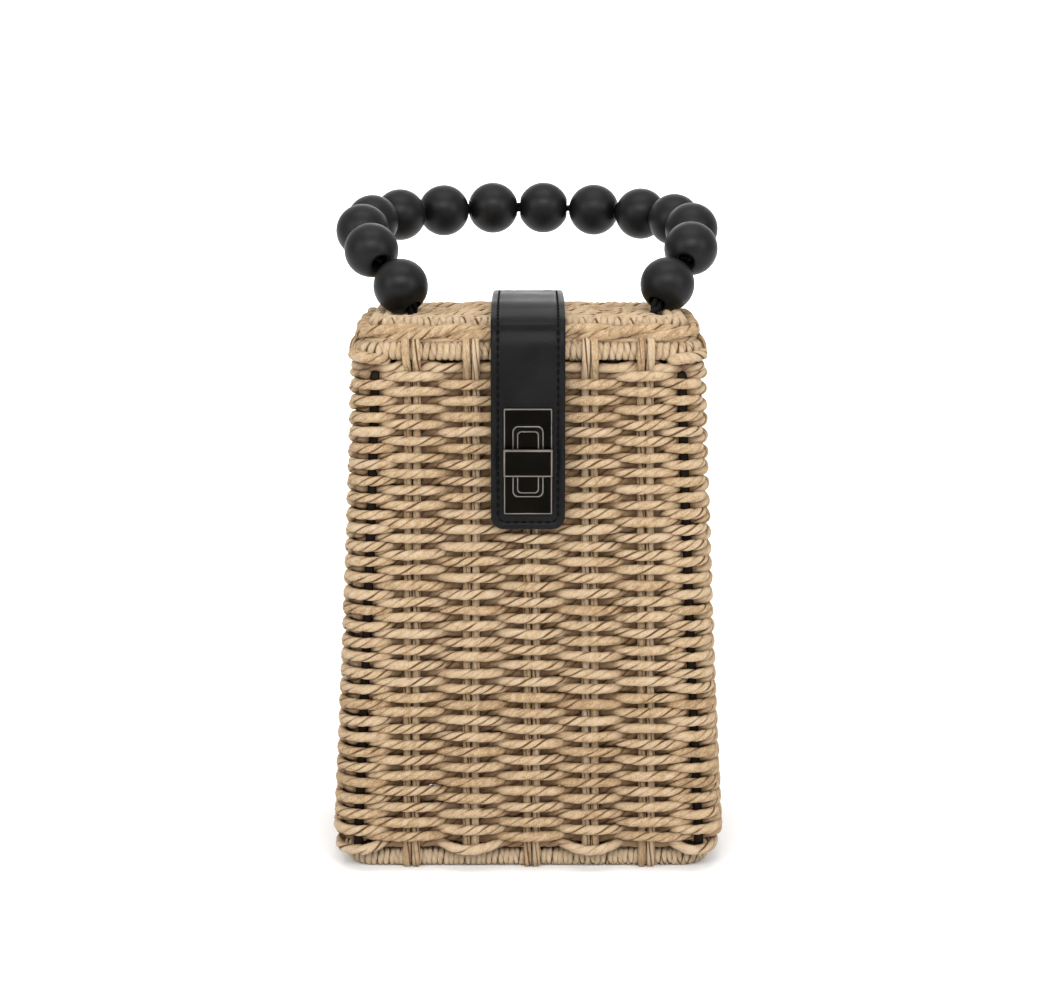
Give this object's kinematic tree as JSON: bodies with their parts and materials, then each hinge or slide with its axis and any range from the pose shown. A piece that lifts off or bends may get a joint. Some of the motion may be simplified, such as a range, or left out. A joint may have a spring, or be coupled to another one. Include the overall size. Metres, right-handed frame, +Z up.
{
  "type": "clutch purse",
  "caption": "Woven paper-rope box clutch with a hinged lid, a leather strap with a turn lock, and a stiff beaded top handle.",
  "frame": {"origin": "middle of the base's underside, on the surface that the bag stands on", "axes": "+X to the right as seen from the front, +Y to the back, +Z up; the strap and lock are on the front, -Y"},
  "size_m": [0.1594, 0.1534, 0.269],
  "materials": {
    "straw": "matte",
    "leather": "satin",
    "lining": "matte",
    "bead": "satin",
    "cord": "matte",
    "lock_metal": "gloss",
    "steel_wire": "satin"
  },
  "bodies": {
    "basket": {"base_weave": "straw", "base_rim_wrap": "straw", "base_rim_wire": "steel_wire", "wall_weave": "straw", "corner_posts": "steel_wire", "front_stakes": "straw", "back_stakes": "straw", "left_stakes": "straw", "right_stakes": "straw", "top_rim_wrap": "straw", "top_rim_wire": "steel_wire", "lock_base_plate": "lock_metal", "lock_backing_plate": "lock_metal", "lock_base_rivets": "lock_metal"},
    "lid": {"lid_border": "straw", "lid_border_wire": "steel_wire", "lid_weave": "straw", "lid_stakes": "straw", "hinge_loop_left": "straw", "hinge_loop_right": "straw", "strap_top": "leather", "strap_top_lining": "lining", "strap_rivets": "lock_metal", "cord_tail_left": "cord", "cord_tail_right": "cord", "cord_washer_left": "lock_metal", "cord_washer_right": "lock_metal", "cord_knot_left": "cord", "cord_knot_right": "cord", "bead_01": "bead", "bead_14": "bead"},
    "strap_flap": {"strap_flap": "leather", "strap_flap_lining": "lining", "lock_plate": "lock_metal", "lock_block": "lock_metal"},
    "toggle": {"toggle_bar": "lock_metal", "toggle_spindle": "lock_metal"},
    "handle": {"handle_cord": "cord", "bead_02": "bead", "bead_03": "bead", "bead_04": "bead", "bead_05": "bead", "bead_06": "bead", "bead_07": "bead", "bead_08": "bead", "bead_09": "bead", "bead_10": "bead", "bead_11": "bead", "bead_12": "bead", "bead_13": "bead"}
  },
  "joints": [
    {"name": "lid_hinge", "type": "hinge", "parent": "basket", "child": "lid", "pos_m": [0, 0.037, 0.2085], "axis": [-1, 0, 0], "range_deg": [0, 100]},
    {"name": "strap_fold", "type": "hinge", "parent": "lid", "child": "strap_flap", "pos_m": [0, -0.0454, 0.2189], "axis": [-1, 0, 0], "range_deg": [0, 90]},
    {"name": "lock_turn", "type": "hinge", "parent": "strap_flap", "child": "toggle", "pos_m": [0, -0.05, 0.167], "axis": [0, 1, 0], "range_deg": [0, 90]},
    {"name": "handle_tilt", "type": "hinge", "parent": "lid", "child": "handle", "pos_m": [0.0027, -0.0023, 0.23165], "axis": [0.9971, 0.0767, 0], "range_deg": [0, 130]}
  ]
}
